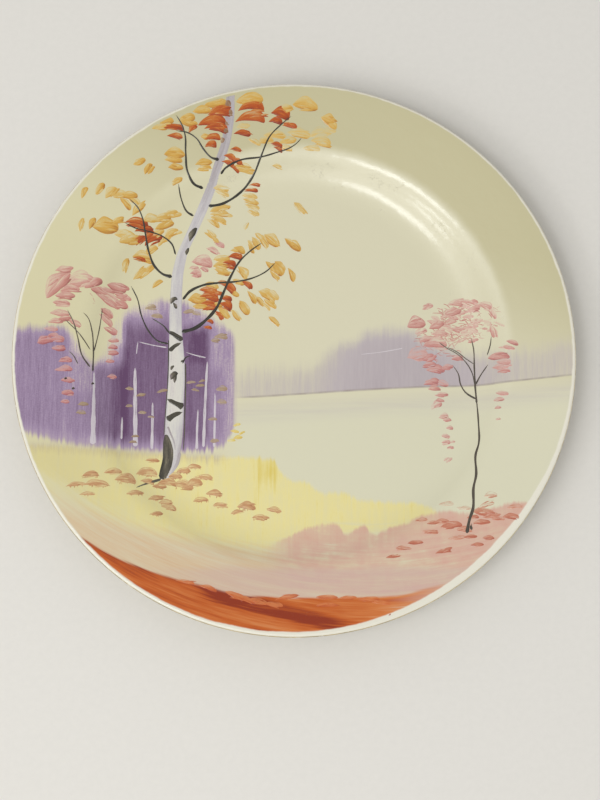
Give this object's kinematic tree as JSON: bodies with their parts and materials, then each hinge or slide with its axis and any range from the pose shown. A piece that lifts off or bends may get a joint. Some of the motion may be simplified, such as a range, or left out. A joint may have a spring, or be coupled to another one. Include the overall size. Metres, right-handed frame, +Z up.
{
  "type": "painted ceramic plate",
  "caption": "Round porcelain plate with a level well, a gently rising flange, a turned foot ring, a painted cream face and a gilt lip.",
  "frame": {"origin": "centre of the foot ring's bearing face, on the surface that the plate stands on", "axes": "+Z up along the plate's turning axis, out of its face; -Y is the side at the bottom of the painted picture, and +X is to the picture's right"},
  "size_m": [0.254, 0.254, 0.0211],
  "materials": {
    "biscuit": "bare, fine-grained, matte",
    "white_glaze": "clear feldspar glaze over white, glossy",
    "cream_ground": "fired overglaze colour, glossy, with the painted picture in it",
    "gilding": "fired bright gold, rubbed"
  },
  "bodies": {
    "root": {"plate_body": "biscuit", "foot_ring": "biscuit", "face_glaze": "white_glaze", "painted_ground": "cream_ground", "back_glaze": "white_glaze", "base_glaze": "white_glaze", "gilt_rim": "gilding"}
  },
  "joints": []
}
